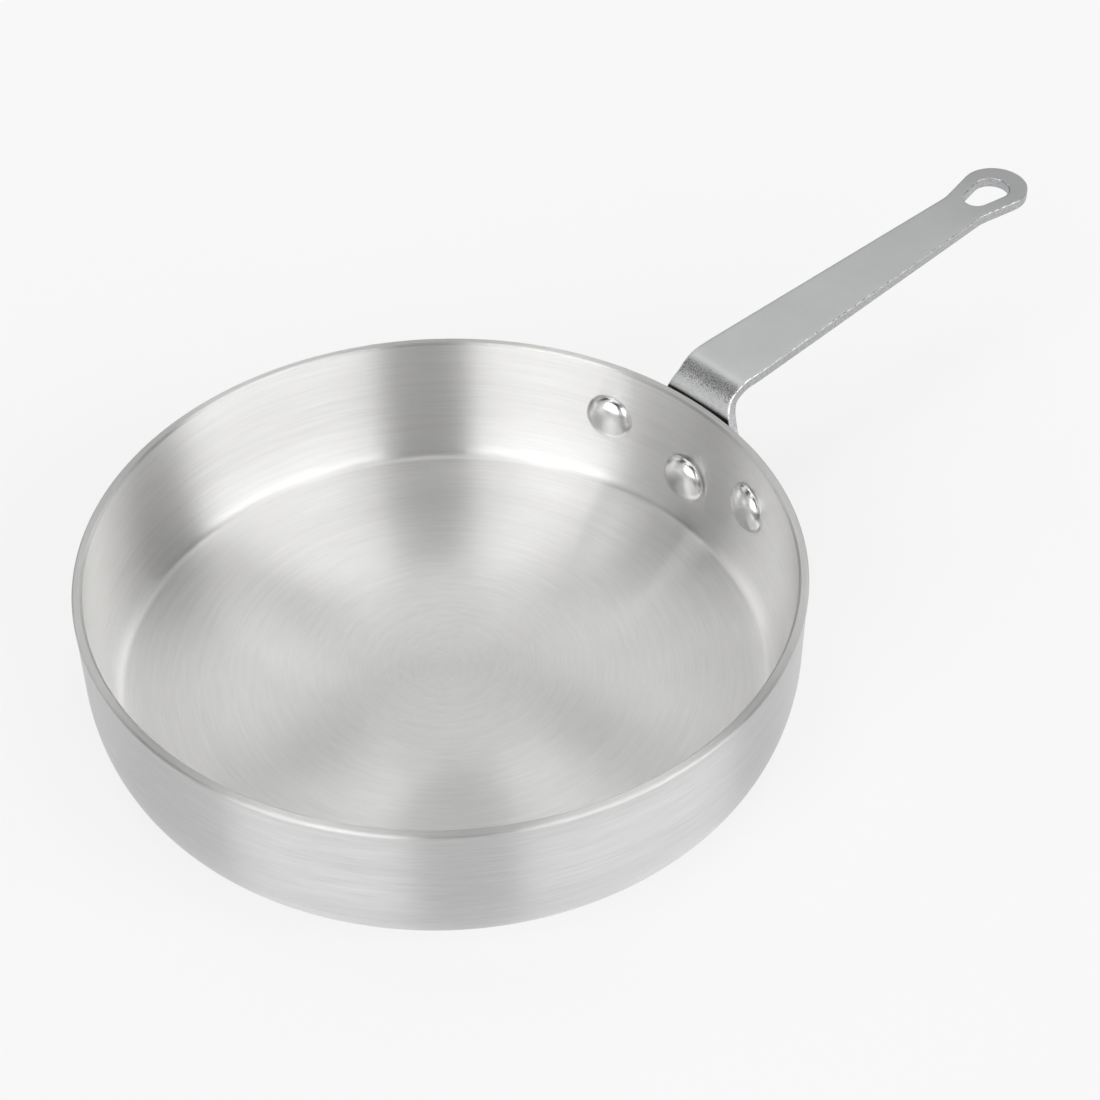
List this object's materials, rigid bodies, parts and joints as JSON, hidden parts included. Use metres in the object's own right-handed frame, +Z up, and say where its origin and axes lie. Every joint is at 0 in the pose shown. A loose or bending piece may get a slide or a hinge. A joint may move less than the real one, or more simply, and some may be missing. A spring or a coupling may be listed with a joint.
{
  "type": "saute pan",
  "caption": "Round straight-sided aluminium saute pan with a bent steel strip handle riveted to its wall and a hanging eye at the handle's end.",
  "frame": {"origin": "centre of the flat base, on the surface that the pan stands on", "axes": "+X from the pan's middle towards the handle's eye, +Z up out of the pan, +Y to the left of the handle seen from above"},
  "size_m": [0.416, 0.24, 0.0703],
  "materials": {
    "pan": "spun and brushed, with fine concentric lines",
    "handle": "satin plated steel, grainy where it is bent",
    "rivet": "polished domes"
  },
  "bodies": {
    "root": {"pan_body": "pan", "handle": "handle", "rivet_left": "rivet", "rivet_centre": "rivet", "rivet_right": "rivet"}
  },
  "joints": []
}
